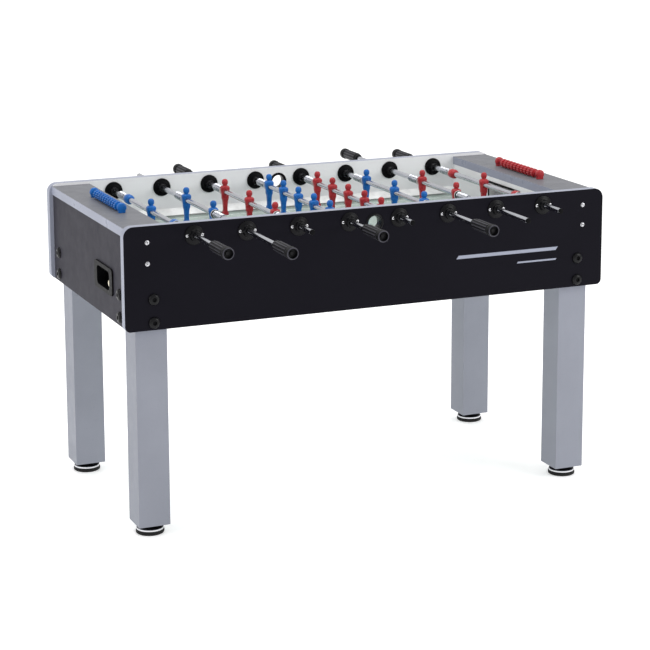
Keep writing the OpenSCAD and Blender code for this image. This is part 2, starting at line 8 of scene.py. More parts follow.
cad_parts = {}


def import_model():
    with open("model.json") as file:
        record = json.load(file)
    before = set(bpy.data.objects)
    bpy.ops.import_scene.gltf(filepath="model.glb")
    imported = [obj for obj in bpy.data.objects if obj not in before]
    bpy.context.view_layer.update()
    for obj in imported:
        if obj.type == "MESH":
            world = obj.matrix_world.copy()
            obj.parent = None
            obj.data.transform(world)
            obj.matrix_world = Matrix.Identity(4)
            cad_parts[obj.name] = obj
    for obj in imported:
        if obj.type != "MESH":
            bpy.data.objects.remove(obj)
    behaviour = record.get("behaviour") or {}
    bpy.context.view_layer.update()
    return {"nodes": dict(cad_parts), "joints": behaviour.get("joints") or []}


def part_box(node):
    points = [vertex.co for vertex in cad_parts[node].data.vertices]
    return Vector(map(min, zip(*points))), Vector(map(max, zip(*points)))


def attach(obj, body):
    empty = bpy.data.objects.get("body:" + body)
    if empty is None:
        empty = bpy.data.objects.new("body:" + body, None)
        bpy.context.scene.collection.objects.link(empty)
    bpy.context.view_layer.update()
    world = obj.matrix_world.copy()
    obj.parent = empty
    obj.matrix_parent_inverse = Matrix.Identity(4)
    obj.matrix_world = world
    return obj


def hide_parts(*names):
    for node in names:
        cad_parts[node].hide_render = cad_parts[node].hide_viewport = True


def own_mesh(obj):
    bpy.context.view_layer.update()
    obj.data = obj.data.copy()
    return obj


# Looks of the foosball table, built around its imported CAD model. Metres, +Z up,
# +X along the table; the near long side faces -Y.

MM = 0.001

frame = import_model()


# ---- Places, read from the frame ----

def centre(node, axis):
    low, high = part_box(node)
    return (low[axis] + high[axis]) / 2


def span(node, axis):
    low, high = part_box(node)
    return high[axis] - low[axis]


X, Y, Z = 0, 1, 2
NODE_NAMES = list(frame["nodes"])
ROD_NAMES = [name[:-4] for name in NODE_NAMES if name.endswith("_rod")]
MEN_COUNT = {"goalie": 1, "defence": 2, "midfield": 5, "attack": 3}

PANEL_LOW, PANEL_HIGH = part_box("near_side_panel")
HALF_WIDTH = -PANEL_LOW[Y]
WALL_Y = -PANEL_HIGH[Y]
PANEL_TOP = PANEL_HIGH[Z]
END_FACE_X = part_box("right_end_panel")[1][X]
ROD_Z = centre(ROD_NAMES[0] + "_rod", Z)
ROD_R = span(ROD_NAMES[0] + "_rod", X) / 2
HUB_TIP_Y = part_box("rod_bearings")[1][Y]
BEARING_R = span("rod_bearings", Z) / 2
DISC_THICK = 9 * MM
NOSE_LENGTH = 12 * MM
DISC_FACE_Y = WALL_Y - DISC_THICK
NOSE_TIP_Y = DISC_FACE_Y - NOSE_LENGTH
SPRING_R = 11.5 * MM
FIELD_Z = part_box("playfield_glass")[1][Z]
GOAL_WALL_THICK = 18 * MM
FIELD_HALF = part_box("goal_walls")[1][X] - GOAL_WALL_THICK
FLANGE = 4 * MM
SCREW_X = 22 * MM
DEFENCE_PITCH = 238 * MM
MAN_WIDTH = span("blue_defence_players", Y) - DEFENCE_PITCH
FIT_GAP = 0.05 * MM


# ---- Materials ----

class Surface:
    """A Principled material whose nodes are added by short calls."""

    def __init__(self, name, metallic=0.0, coat=0.0, coat_rough=0.1, specular=0.5):
        self.material = bpy.data.materials.new(name)
        self.material.use_nodes = True
        self.tree = self.material.node_tree
        self.tree.nodes.clear()
        output = self.tree.nodes.new("ShaderNodeOutputMaterial")
        self.shader = self.tree.nodes.new("ShaderNodeBsdfPrincipled")
        self.link(self.shader.outputs["BSDF"], output.inputs["Surface"])
        self.shader.inputs["Metallic"].default_value = metallic
        self.shader.inputs["Coat Weight"].default_value = coat
        self.shader.inputs["Coat Roughness"].default_value = coat_rough
        self.shader.inputs["Specular IOR Level"].default_value = specular
        self.place = self.node("ShaderNodeTexCoord").outputs["Object"]

    def link(self, source, target):
        self.tree.links.new(source, target)

    def node(self, kind, **settings):
        made = self.tree.nodes.new(kind)
        for key, value in settings.items():
            setattr(made, key, value)
        return made

    def feed(self, socket, value):
        if isinstance(value, bpy.types.NodeSocket):
            self.link(value, socket)
        else:
            socket.default_value = value

    def math(self, operation, a, b=0.0, clamp=False):
        made = self.node("ShaderNodeMath", operation=operation, use_clamp=clamp)
        self.feed(made.inputs[0], a)
        self.feed(made.inputs[1], b)
        return made.outputs[0]

    def stretched(self, sx, sy, sz):
        made = self.node("ShaderNodeMapping")
        self.link(self.place, made.inputs["Vector"])
        made.inputs["Scale"].default_value = (sx, sy, sz)
        return made.outputs[0]

    def noise(self, scale, detail=3.0, rough=0.5, vector=None):
        made = self.node("ShaderNodeTexNoise")
        self.link(vector or self.place, made.inputs["Vector"])
        made.inputs["Scale"].default_value = scale
        made.inputs["Detail"].default_value = detail
        made.inputs["Roughness"].default_value = rough
        return made.outputs["Fac"]

    def voronoi(self, scale):
        made = self.node("ShaderNodeTexVoronoi", feature="F1")
        self.link(self.place, made.inputs["Vector"])
        made.inputs["Scale"].default_value = scale
        return made.outputs["Distance"]

    def spread(self, value, low, high, from_low=0.3, from_high=0.7):
        made = self.node("ShaderNodeMapRange")
        self.feed(made.inputs["Value"], value)
        made.inputs["From Min"].default_value = from_low
        made.inputs["From Max"].default_value = from_high
        made.inputs["To Min"].default_value = low
        made.inputs["To Max"].default_value = high
        return made.outputs["Result"]

    def mix(self, share, first, second):
        made = self.node("ShaderNodeMix", data_type="RGBA")
        self.feed(made.inputs[0], share)
        self.feed(made.inputs[6], first)
        self.feed(made.inputs[7], second)
        return made.outputs[2]

    def bump(self, height, depth, normal=None, strength=1.0):
        made = self.node("ShaderNodeBump")
        made.inputs["Strength"].default_value = strength
        made.inputs["Distance"].default_value = depth
        self.link(height, made.inputs["Height"])
        if normal is not None:
            self.link(normal, made.inputs["Normal"])
        return made.outputs["Normal"]

    def finish(self, colour, rough, normal=None):
        self.feed(self.shader.inputs["Base Color"], colour)
        self.feed(self.shader.inputs["Roughness"], rough)
        if normal is not None:
            self.link(normal, self.shader.inputs["Normal"])
        return self.material


def rgb(red, green, blue):
    """An sRGB colour in 0 to 255 as the linear colour that nodes take."""
    def linear(value):
        value /= 255
        return value / 12.92 if value <= 0.04045 else ((value + 0.055) / 1.055) ** 2.4
    return (linear(red), linear(green), linear(blue), 1.0)


def shade(colour, factor):
    return (colour[0] * factor, colour[1] * factor, colour[2] * factor, 1.0)


def laminate(name, colour, rough=0.42, fleck=0.18, specular=0.3):
    """Melamine board: a faint cloud, fine flecks and a pimpled press texture."""
    s = Surface(name, specular=specular)
    cloud = s.spread(s.noise(7.0, 4.0), 0.0, 1.0)
    flecks = s.spread(s.noise(900.0, 2.0, 0.6), 0.0, 1.0, 0.35, 0.65)
    base = s.mix(cloud, shade(colour, 1 - fleck / 2), shade(colour, 1 + fleck / 2))
    tone = s.mix(s.math("MULTIPLY", flecks, fleck), base, shade(colour, 1.9))
    rub = s.spread(s.noise(22.0, 5.0, 0.65), rough - 0.05, rough + 0.08)
    pimples = s.bump(s.noise(1600.0, 2.0), 0.00012)
    return s.finish(tone, rub, pimples)


def moulded(name, colour, rough=0.35, specular=0.3, texture=0.00008, scale=1400.0):
    """Moulded plastic: slight tone drift, fine spark texture and rubbed patches."""
    s = Surface(name, specular=specular)
    drift = s.spread(s.noise(30.0, 3.0), 0.0, 1.0)
    tone = s.mix(drift, shade(colour, 0.86), shade(colour, 1.12))
    rub = s.spread(s.noise(120.0, 4.0, 0.6), rough - 0.06, rough + 0.10)
    grain = s.bump(s.noise(scale, 2.0), texture)
    return s.finish(tone, rub, grain)


def rubber(name, colour, rough=0.62):
    s = Surface(name, specular=0.2)
    dust = s.spread(s.noise(60.0, 5.0, 0.7), 0.0, 1.0, 0.4, 0.75)
    tone = s.mix(s.math("MULTIPLY", dust, 0.35), colour, shade(colour, 2.4))
    rub = s.spread(s.noise(240.0, 3.0), rough - 0.08, rough + 0.12)
    grain = s.bump(s.noise(2200.0, 2.0, 0.7), 0.00015)
    return s.finish(tone, rub, grain)


def bright_metal(name, colour, rough=0.14, along=(1.0, 1.0, 1.0)):
    """Plated metal with hair scratches stretched along one axis."""
    s = Surface(name, metallic=1.0)
    hair = s.noise(500.0, 3.0, 0.6, s.stretched(*along))
    smear = s.noise(35.0, 4.0, 0.6)
    rub = s.math("ADD", s.spread(hair, rough - 0.04, rough + 0.06), s.spread(smear, 0.0, 0.08))
    tone = s.mix(s.spread(smear, 0.0, 1.0), shade(colour, 0.90), colour)
    return s.finish(tone, rub, s.bump(hair, 0.00002))


def painted(name, colour, rough=0.38):
    """Powder coat: orange-peel skin, faint cloud and a few rubbed specks."""
    s = Surface(name, specular=0.1)
    cloud = s.spread(s.noise(5.0, 4.0), 0.0, 1.0)
    tone = s.mix(cloud, shade(colour, 0.93), shade(colour, 1.06))
    specks = s.spread(s.noise(260.0, 3.0, 0.7), 0.0, 1.0, 0.62, 0.72)
    tone = s.mix(s.math("MULTIPLY", specks, 0.25), tone, shade(colour, 0.6))
    peel = s.bump(s.noise(420.0, 2.0), 0.0002)
    return s.finish(tone, s.spread(s.noise(40.0, 4.0), rough - 0.05, rough + 0.07), peel)


def raw_board(name):
    """Plain chipboard seen on hidden edges and under the field."""
    s = Surface(name)
    chips = s.voronoi(240.0)
    grain = s.noise(60.0, 5.0, 0.6, s.stretched(1.0, 6.0, 6.0))
    tone = s.mix(s.spread(grain, 0.0, 1.0), rgb(176, 150, 116), rgb(206, 184, 150))
    tone = s.mix(s.spread(chips, 0.35, 0.0, 0.1, 0.6), tone, rgb(140, 112, 80))
    return s.finish(tone, 0.75, s.bump(chips, 0.0003))


def clear_sheet(name):
    """The clear sheet over the field: a thin, faintly tinted gloss film whose pale colour, laid at
    low alpha over the print, is a painted sheen standing in for reflected light.
    """
    s = Surface(name, specular=0.6)
    smear = s.noise(9.0, 5.0, 0.6)
    # Low alpha lets the print show through under the pale painted sheen.
    s.shader.inputs["Alpha"].default_value = 0.22
    tone = s.mix(s.spread(smear, 0.0, 1.0), rgb(205, 218, 212), rgb(222, 232, 228))
    return s.finish(tone, s.spread(smear, 0.03, 0.12), s.bump(s.noise(4.0, 2.0), 0.0002))


def printed_field(name, half_length, half_width):
    """The printed pitch: pale green bands with white lines."""
    s = Surface(name, coat=0.6, coat_rough=0.12)
    parts = s.node("ShaderNodeSeparateXYZ")
    s.link(s.place, parts.inputs[0])
    x = s.math("ABSOLUTE", parts.outputs[0])
    y = s.math("ABSOLUTE", parts.outputs[1])
    line = 4 * MM

    def near(value, target):
        return s.math("LESS_THAN", s.math("ABSOLUTE", s.math("SUBTRACT", value, target)), line / 2)

    def below(value, limit):
        return s.math("LESS_THAN", value, limit)

    def both(a, b):
        return s.math("MULTIPLY", a, b)

    def outline(depth, half):
        """Three sides of a box that stands on the goal line."""
        start = half_length - depth
        front = both(near(x, start), below(y, half))
        side = both(near(y, half), s.math("GREATER_THAN", x, start))
        return s.math("MAXIMUM", front, side)

    reach = s.math("POWER", s.math("ADD", both(x, x), both(y, y)), 0.5)
    marks = [
        below(x, line / 2),
        near(reach, 105 * MM),
        below(reach, 7 * MM),
        outline(190 * MM, 225 * MM),
        outline(85 * MM, 130 * MM),
        both(near(y, half_width), below(x, half_length)),
    ]
    lines = marks[0]
    for mark in marks[1:]:
        lines = s.math("MAXIMUM", lines, mark)
    bands = s.math("GREATER_THAN", s.math("SINE", s.math("MULTIPLY", x, 2 * pi / (156 * MM))), 0.0)
    grass = s.mix(bands, rgb(150, 170, 160), rgb(158, 178, 168))
    blades = s.spread(s.noise(700.0, 3.0, 0.6), 0.0, 1.0)
    grass = s.mix(s.math("MULTIPLY", blades, 0.10), grass, rgb(120, 150, 132))
    tone = s.mix(lines, grass, rgb(236, 238, 236))
    return s.finish(tone, s.spread(s.noise(14.0, 4.0), 0.24, 0.34))


def ball_cork(name):
    s = Surface(name)
    pores = s.voronoi(420.0)
    tone = s.mix(s.spread(s.noise(90.0, 4.0), 0.0, 1.0), rgb(222, 212, 184), rgb(238, 230, 206))
    return s.finish(tone, 0.55, s.bump(pores, 0.0002))


BLACK_SIDE = laminate("black_side_laminate", rgb(16, 15, 22), 0.40, 0.10, specular=0.05)
END_GREY = laminate("end_grey_laminate", rgb(57, 56, 63), 0.45, 0.05, specular=0.03)
INNER_WHITE = laminate("inner_white_laminate", rgb(236, 236, 238), 0.35, 0.03)
COVER_GREY = laminate("cover_grey_laminate", rgb(106, 107, 112), 0.40, 0.10, specular=0.12)
EDGE_SILVER = laminate("edge_silver_band", rgb(146, 150, 165), 0.30, 0.06, specular=0.12)
GOAL_WHITE = laminate("goal_white_laminate", rgb(232, 232, 234), 0.32, 0.04)
STRIP_WHITE = moulded("strip_white", rgb(232, 233, 232), 0.30)
RAW_BOARD = raw_board("raw_board")
FIELD_SHEET = clear_sheet("field_clear_sheet")
FIELD_PRINT = printed_field("field_print", FIELD_HALF, 300 * MM)
BLACK_PLASTIC = moulded("black_moulded", rgb(12, 12, 14), 0.38, specular=0.05)
BLACK_GLOSS = moulded("black_gloss_moulded", rgb(8, 8, 11), 0.26, specular=0.14)
CAP_BLACK = moulded("cap_black_moulded", rgb(9, 9, 12), 0.24, specular=0.2)
GRIP_RUBBER = rubber("grip_rubber", rgb(10, 10, 13), 0.48)
# Lighter rubber laid on the grip ribs and end rims as a painted highlight where light would catch
# them.
GRIP_PAINTED_HIGHLIGHT = rubber("grip_painted_highlight_rubber", rgb(57, 56, 64), 0.40)
BUMPER_RUBBER = rubber("bumper_rubber", rgb(20, 20, 20), 0.66)
FOOT_RUBBER = rubber("foot_rubber", rgb(20, 20, 20), 0.60)
WASHER_WHITE = moulded("washer_white", rgb(226, 226, 224), 0.36)
CHROME = bright_metal("rod_chrome", rgb(204, 206, 213), 0.12, (1.0, 0.03, 1.0))
SPRING_STEEL = bright_metal("spring_steel", rgb(206, 208, 214), 0.22)
SCREW_CHROME = bright_metal("screw_chrome", rgb(222, 222, 226), 0.16)
LEG_PAINT = painted("leg_grey_paint", rgb(138, 141, 151))
TEAM = {
    "blue": moulded("blue_moulded", rgb(16, 95, 172), 0.28, specular=0.28),
    "red": moulded("red_moulded", rgb(164, 42, 48), 0.28, specular=0.28),
}
CORK = ball_cork("ball_cork")


# ---- Mesh helpers ----

SHARP = radians(35)


def piece(name, bm, body, materials, replaces=()):
    """Make an object from a bmesh, shade it, and hang it on its body."""
    mesh = bpy.data.meshes.new(name)
    for edge in bm.edges:
        edge.smooth = edge.calc_face_angle(0.0) < SHARP
    for face in bm.faces:
        face.smooth = True
    bm.to_mesh(mesh)
    bm.free()
    for material in materials:
        mesh.materials.append(material)
    made = bpy.data.objects.new(name, mesh)
    bpy.context.scene.collection.objects.link(made)
    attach(made, body)
    if replaces:
        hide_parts(*replaces)
    return made


def board(name, bm, materials, node):
    """A cabinet piece with large flat faces, which rule the shading of their edges."""
    made = piece(name, bm, "cabinet", materials, [node])
    weighted = made.modifiers.new("flat_faces", "WEIGHTED_NORMAL")
    weighted.keep_sharp = True
    return made


def add_copy(target, source, matrix):
    """Add a moved copy of bmesh source to bmesh target."""
    mesh = bpy.data.meshes.new("copy")
    source.to_mesh(mesh)
    mesh.transform(matrix)
    if matrix.determinant() < 0:
        mesh.flip_normals()
    target.from_mesh(mesh)
    bpy.data.meshes.remove(mesh)


def merged(source, matrices):
    """One bmesh with a copy of source at each matrix; source is freed."""
    target = bmesh.new()
    for matrix in matrices:
        add_copy(target, source, matrix)
    source.free()
    return target


def at(x, y, z):
    return Matrix.Translation((x, y, z))


TURN = Matrix.Rotation(pi, 4, "Z")


def lathe(profile, sides=48, ripple=None, slot_of=None):
    """Turn (t, r) points about the Y axis, t along +Y; a profile that ends where it starts
    is closed. ripple(t, r, angle) may change a radius, and slot_of(i) gives the material
    index of the band after point i."""
    bm = bmesh.new()
    rings = []
    for index, (t, r) in enumerate(profile):
        if index == len(profile) - 1 and (t, r) == tuple(profile[0]):
            rings.append(rings[0])
            continue
        if r < 1e-7:
            rings.append([bm.verts.new((0, t, 0))])
            continue
        ring = []
        for k in range(sides):
            angle = 2 * pi * k / sides
            reach = ripple(t, r, angle) if ripple else r
            ring.append(bm.verts.new((reach * cos(angle), t, -reach * sin(angle))))
        rings.append(ring)
    for i in range(len(rings) - 1):
        a, b = rings[i], rings[i + 1]
        for k in range(sides):
            n = (k + 1) % sides
            if len(a) == 1:
                face = bm.faces.new((a[0], b[k], b[n]))
            elif len(b) == 1:
                face = bm.faces.new((a[k], b[0], a[n]))
            else:
                face = bm.faces.new((a[k], b[k], b[n], a[n]))
            face.material_index = slot_of(i) if slot_of else 0
    bmesh.ops.recalc_face_normals(bm, faces=bm.faces)
    return bm


def ring_profile(t0, t1, r_out, r_in, edge):
    """A closed ring with small chamfers, from t0 to t1."""
    return [
        (t0, r_in + edge), (t0, r_out - edge), (t0 + edge, r_out), (t1 - edge, r_out),
        (t1, r_out - edge), (t1, r_in + edge), (t1 - edge, r_in), (t0 + edge, r_in),
        (t0, r_in + edge),
    ]


def node_copy(node, bevel, angle=30.0, segments=2):
    """A cleaned copy of a CAD node's mesh with small round edges."""
    bm = bmesh.new()
    bm.from_mesh(frame["nodes"][node].data)
    bmesh.ops.remove_doubles(bm, verts=bm.verts, dist=1e-6)
    bmesh.ops.dissolve_limit(
        bm, angle_limit=radians(0.5), verts=bm.verts, edges=bm.edges, delimit=set()
    )
    sharp = [e for e in bm.edges if e.is_manifold and e.calc_face_angle(0.0) > radians(angle)]
    if bevel:
        bmesh.ops.bevel(
            bm, geom=sharp, offset=bevel, segments=segments, profile=0.6,
            affect="EDGES", clamp_overlap=True, material=-1,
        )
    return bm


def paint_faces(bm, index_of):
    """Set each face's material from its centre and normal."""
    bm.normal_update()
    for face in bm.faces:
        face.material_index = index_of(face.calc_center_median(), face.normal)


def painted_shade_cross(bm, depth, reach, width):
    """Add a cross of four thin dark arms, in material 1, that lie in a screw head's top: painted
    shade that stands in for the shadow inside a cross recess, which is not cut.
    """
    for k in range(4):
        turn = Matrix.Rotation(k * pi / 2, 4, "Y")
        made = bmesh.ops.create_cube(bm, size=1.0)
        place = turn @ at(reach / 2, depth, 0) @ Matrix.Diagonal((reach, 2 * depth, width, 1))
        bmesh.ops.transform(bm, matrix=place, verts=made["verts"])
        for vert in made["verts"]:
            for face in vert.link_faces:
                face.material_index = 1


# ---- Cabinet ----

def side_panel(node, outward):
    """Black laminate outside, white inside, silver banding round the edge."""
    bm = node_copy(node, 0.8 * MM)
    band_reach = 30 * MM

    def index_of(middle, normal):
        if normal.y * outward > 0.5:
            return 0
        if normal.y * outward < -0.5:
            return 1 if abs(middle.x) < END_FACE_X else 2
        x_room = PANEL_HIGH[X] - abs(middle.x)
        z_room = min(PANEL_TOP - middle.z, middle.z - PANEL_LOW[Z])
        on_rim = min(x_room, z_room) < band_reach
        return 2 if on_rim and abs(normal.y) < 0.9 else 1

    for cut_x in (-END_FACE_X, END_FACE_X):
        bmesh.ops.bisect_plane(
            bm, geom=bm.verts[:] + bm.edges[:] + bm.faces[:],
            plane_co=(cut_x, 0, 0), plane_no=(1, 0, 0),
        )
    paint_faces(bm, index_of)
    board(node + "_board", bm, [BLACK_SIDE, INNER_WHITE, EDGE_SILVER], node)


side_panel("near_side_panel", -1)
side_panel("far_side_panel", 1)


def panel_stripes():
    """Two plain slanted stripes on the near panel, a thin foil."""
    bm = bmesh.new()
    lean, thick = 0.75, 0.25 * MM
    for start, length, base, height in (
        (262 * MM, 330 * MM, 118 * MM, 10 * MM),
        (462 * MM, 130 * MM, 88 * MM, 5 * MM),
    ):
        tilt = lean * height
        corners = [(start, base), (start + length, base),
                   (start + length + tilt, base + height), (start + tilt, base + height)]
        back = [bm.verts.new((x, -HALF_WIDTH, PANEL_LOW[Z] + z)) for x, z in corners]
        front = [bm.verts.new((x, -HALF_WIDTH - thick, PANEL_LOW[Z] + z)) for x, z in corners]
        bm.faces.new(back)
        bm.faces.new(front[::-1])
        for k in range(4):
            n = (k + 1) % 4
            bm.faces.new((back[k], front[k], front[n], back[n]))
    bmesh.ops.recalc_face_normals(bm, faces=bm.faces)
    piece("panel_stripes", bm, "cabinet", [EDGE_SILVER])


panel_stripes()

for node in ("left_end_panel", "right_end_panel"):
    bm = node_copy(node, 0.6 * MM)
    paint_faces(bm, lambda middle, normal: 0 if normal.x * middle.x > 0.2 else 1)
    board(node + "_board", bm, [END_GREY, INNER_WHITE], node)

bm = node_copy("top_covers", 2.0 * MM, segments=3)
paint_faces(bm, lambda middle, normal: 0 if abs(normal.z) > 0.75 else 1)
board("top_cover_boards", bm, [COVER_GREY, EDGE_SILVER], "top_covers")

bm = node_copy("goal_walls", 1.2 * MM)
board("goal_wall_boards", bm, [GOAL_WHITE], "goal_walls")

bm = node_copy("side_strips", 0.6 * MM)
board("banked_strips", bm, [STRIP_WHITE], "side_strips")

for node, material in (
    ("corner_blocks", RAW_BOARD),
    ("ball_return_ramps", RAW_BOARD),
    ("playfield_glass", FIELD_SHEET),
    ("playfield_board", FIELD_PRINT),
):
    mesh = frame["nodes"][node].data
    mesh.materials.clear()
    mesh.materials.append(material)


def goal_trim():
    """A black moulding that frames each goal opening on the field side."""
    bm = bmesh.new()
    half, top = 100 * MM, FIELD_Z + 71 * MM
    width, lip = 6 * MM, 3 * MM
    bars = [
        (0.0, top + width / 2, half + width, width / 2),
        (-half - width / 2, (FIELD_Z + top) / 2, width / 2, (top - FIELD_Z) / 2),
        (half + width / 2, (FIELD_Z + top) / 2, width / 2, (top - FIELD_Z) / 2),
    ]
    for side in (-1, 1):
        for y, z, half_y, half_z in bars:
            made = bmesh.ops.create_cube(bm, size=2.0)
            place = at(side * (FIELD_HALF - lip / 2), y, z)
            size = Matrix.Diagonal((lip / 2, half_y, half_z, 1))
            bmesh.ops.transform(bm, matrix=place @ size, verts=made["verts"])
    bmesh.ops.bevel(bm, geom=bm.edges[:], offset=0.8 * MM, segments=2, affect="EDGES")
    piece("goal_trims", bm, "cabinet", [BLACK_PLASTIC])


goal_trim()


# ---- Ball handling ----

bm = node_copy("ball_return_cups", 0.8 * MM, segments=3)
board("return_cup_mouldings", bm, [BLACK_PLASTIC], "ball_return_cups")


def entry_cups():
    """Outer ring with a rolled rim, a tube through the panel and an inner collar."""
    low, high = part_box("ball_entry_cups")
    ring_r = (high[Z] - low[Z]) / 2
    hole_r = 20 * MM
    tube_r = hole_r + 3 * MM
    outer = -low[Y] - HALF_WIDTH
    depth = HALF_WIDTH - WALL_Y
    collar = depth + 2 * MM
    profile = [
        (collar, hole_r + 0.6 * MM), (collar - 1 * MM, hole_r), (6 * MM, hole_r),
        (-outer + 1.5 * MM, hole_r + 1 * MM), (-outer, hole_r + 3 * MM),
        (-outer, ring_r - 4 * MM), (-outer + 1 * MM, ring_r - 1.5 * MM),
        (-outer + 3 * MM, ring_r), (0, ring_r), (0, tube_r), (depth, tube_r), (depth, ring_r),
        (collar - 0.8 * MM, ring_r), (collar, ring_r - 1 * MM), (collar, hole_r + 0.6 * MM),
    ]
    place = at(0, -HALF_WIDTH, (low[Z] + high[Z]) / 2)
    bm = merged(lathe(profile, 64), [place, TURN @ place])
    piece("ball_entry_rings", bm, "cabinet", [BLACK_GLOSS], ["ball_entry_cups"])


entry_cups()


def ball():
    """A ball lies in the mouth of the left return cup, against its near wall."""
    radius = 17.5 * MM
    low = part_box("ball_return_cups")[0]
    floor = low[Z] + 12 * MM
    near_wall = low[Y] + 27 * MM
    bm = bmesh.new()
    bmesh.ops.create_icosphere(bm, subdivisions=5, radius=radius)
    for vert in bm.verts:
        dimple = sin(vert.co.x * 900) * sin(vert.co.y * 900) * sin(vert.co.z * 900)
        vert.co *= 1 + 0.004 * dimple
    place = at(low[X] + 21 * MM, near_wall + 18.5 * MM, floor + radius)
    bmesh.ops.transform(bm, matrix=place, verts=bm.verts)
    piece("ball", bm, "cabinet", [CORK])


ball()


# ---- Bearings and fasteners ----

ROD_X = {name: centre(name + "_rod", X) for name in ROD_NAMES}
BEARING_PLACES = [
    turn @ at(x, 0, ROD_Z) for turn in (Matrix.Identity(4), TURN) for x in ROD_X.values()
]


def bearings():
    bore = ROD_R + 0.06 * MM
    face = -HALF_WIDTH - FLANGE
    hub_r = 15 * MM
    outer = [
        (-NOSE_TIP_Y, bore), (-HUB_TIP_Y + 1 * MM, bore), (-HUB_TIP_Y, bore + 1 * MM),
        (-HUB_TIP_Y, hub_r - 4 * MM), (-HUB_TIP_Y + 1.2 * MM, hub_r - 1.5 * MM),
        (-HUB_TIP_Y + 4 * MM, hub_r - 0.5 * MM), (face - 4 * MM, hub_r - 0.2 * MM),
        (face - 1.5 * MM, hub_r + 0.8 * MM), (face, hub_r + 3 * MM),
        (face + 0.2 * MM, BEARING_R - 3 * MM), (face + 1 * MM, BEARING_R - 0.8 * MM),
        (face + 2.5 * MM, BEARING_R), (-HALF_WIDTH, BEARING_R), (-HALF_WIDTH, 14 * MM),
        (-DISC_FACE_Y, 14 * MM), (-DISC_FACE_Y + 1 * MM, 13.6 * MM),
        (-NOSE_TIP_Y - 1 * MM, 11.4 * MM), (-NOSE_TIP_Y, 10.6 * MM), (-NOSE_TIP_Y, bore),
    ]
    piece("bearing_hubs", merged(lathe(outer), BEARING_PLACES), "cabinet", [BLACK_GLOSS],
          ["rod_bearings"])
    disc = [
        (-WALL_Y, 14.1 * MM), (-WALL_Y, BEARING_R), (-WALL_Y + 4 * MM, BEARING_R),
        (-WALL_Y + 6 * MM, BEARING_R - 1 * MM), (-WALL_Y + 7 * MM, BEARING_R - 4 * MM),
        (-WALL_Y + 7.4 * MM, 18 * MM), (-DISC_FACE_Y - 0.6 * MM, 16.5 * MM),
        (-DISC_FACE_Y, 15.5 * MM), (-DISC_FACE_Y, 14.1 * MM), (-WALL_Y, 14.1 * MM),
    ]
    piece("bearing_discs", merged(lathe(disc), BEARING_PLACES), "cabinet", [BLACK_PLASTIC])


bearings()


def screw_head(radius, height):
    """A pan head with a dark cross painted on its top as the shade of a cross recess; it stands on
    y = 0 and points to -Y.
    """
    profile = [
        (0, 0), (0, radius), (-height * 0.35, radius), (-height * 0.75, radius * 0.86),
        (-height, radius * 0.5), (-height, 0),
    ]
    bm = lathe(profile, 32)
    made = bmesh.new()
    # The black cross is painted shade for the recess, not a cut.
    painted_shade_cross(made, height * 0.02, radius * 0.66, radius * 0.3)
    add_copy(bm, made, at(0, -height * 1.01, 0))
    made.free()
    return bm


def screws():
    head = screw_head(4.5 * MM, 2.6 * MM)
    places = [
        turn @ at(x + side * SCREW_X, -HALF_WIDTH - FLANGE, ROD_Z)
        for turn in (Matrix.Identity(4), TURN) for x in ROD_X.values() for side in (-1, 1)
    ]
    piece("bearing_screw_heads", merged(head, places), "cabinet", [SCREW_CHROME, BLACK_PLASTIC],
          ["panel_screws"])
    washer_r = 6.5 * MM
    corner_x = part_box("panel_screws")[1][X] - washer_r
    heights = [PANEL_TOP - 46 * MM, PANEL_TOP - 106 * MM]
    places = [
        turn @ at(side * corner_x, -HALF_WIDTH, z)
        for turn in (Matrix.Identity(4), TURN) for side in (-1, 1) for z in heights
    ]
    washer = [
        (0, 0), (0, washer_r), (-0.8 * MM, washer_r), (-1.4 * MM, washer_r - 0.8 * MM),
        (-1.2 * MM, 5.4 * MM), (-0.6 * MM, 4.8 * MM), (-0.6 * MM, 0),
    ]
    piece("corner_screw_cups", merged(lathe(washer, 40), places), "cabinet", [SCREW_CHROME])
    raised = [place @ at(0, -0.8 * MM, 0) for place in places]
    piece("corner_screw_heads", merged(screw_head(4.8 * MM, 2.8 * MM), raised), "cabinet",
          [SCREW_CHROME, BLACK_PLASTIC])


screws()


def leg_bolt_caps():
    """Domed black caps with a six-sided socket, on the side and end panels."""
    radius, height = 16.5 * MM, 8 * MM
    socket_r = 6.5 * MM

    def socket(t, r, angle):
        if r > socket_r:
            return r
        turned = (angle + pi / 6) % (pi / 3) - pi / 6
        return r * cos(pi / 6) / cos(turned) * 1.08

    profile = [
        (0, 0), (0, radius), (-2 * MM, radius), (-4.5 * MM, radius - 1 * MM),
        (-6.8 * MM, radius - 3.4 * MM), (-height, radius - 7 * MM), (-height, 6.4 * MM),
        (-height + 0.8 * MM, 5.8 * MM), (-height + 4 * MM, 5.8 * MM), (-height + 4 * MM, 0),
    ]
    bm = lathe(profile, 48, ripple=socket, slot_of=lambda i: 1 if i >= 6 else 0)
    side_x = centre("front_right_leg", X) - 1 * MM
    end_y = centre("rear_left_leg", Y) - 9 * MM
    side_rises, end_rises = (87 * MM, 21 * MM), (90 * MM, 25 * MM)
    quarter = Matrix.Rotation(pi / 2, 4, "Z")
    base = PANEL_LOW[Z]
    places = []
    for turn in (Matrix.Identity(4), TURN):
        for side in (-1, 1):
            for rise in side_rises:
                places.append(turn @ at(side * side_x, -HALF_WIDTH, base + rise))
            for rise in end_rises:
                places.append(turn @ at(END_FACE_X, side * end_y, base + rise) @ quarter)
    piece("leg_bolt_caps", merged(bm, places), "cabinet", [CAP_BLACK, BLACK_PLASTIC],
          ["leg_bolts"])


leg_bolt_caps()


# ---- Legs and feet ----

for corner in ("front_left", "front_right", "rear_left", "rear_right"):
    leg = corner + "_leg"
    board(leg + "_post", node_copy(leg, 2.5 * MM, segments=3), [LEG_PAINT], leg)


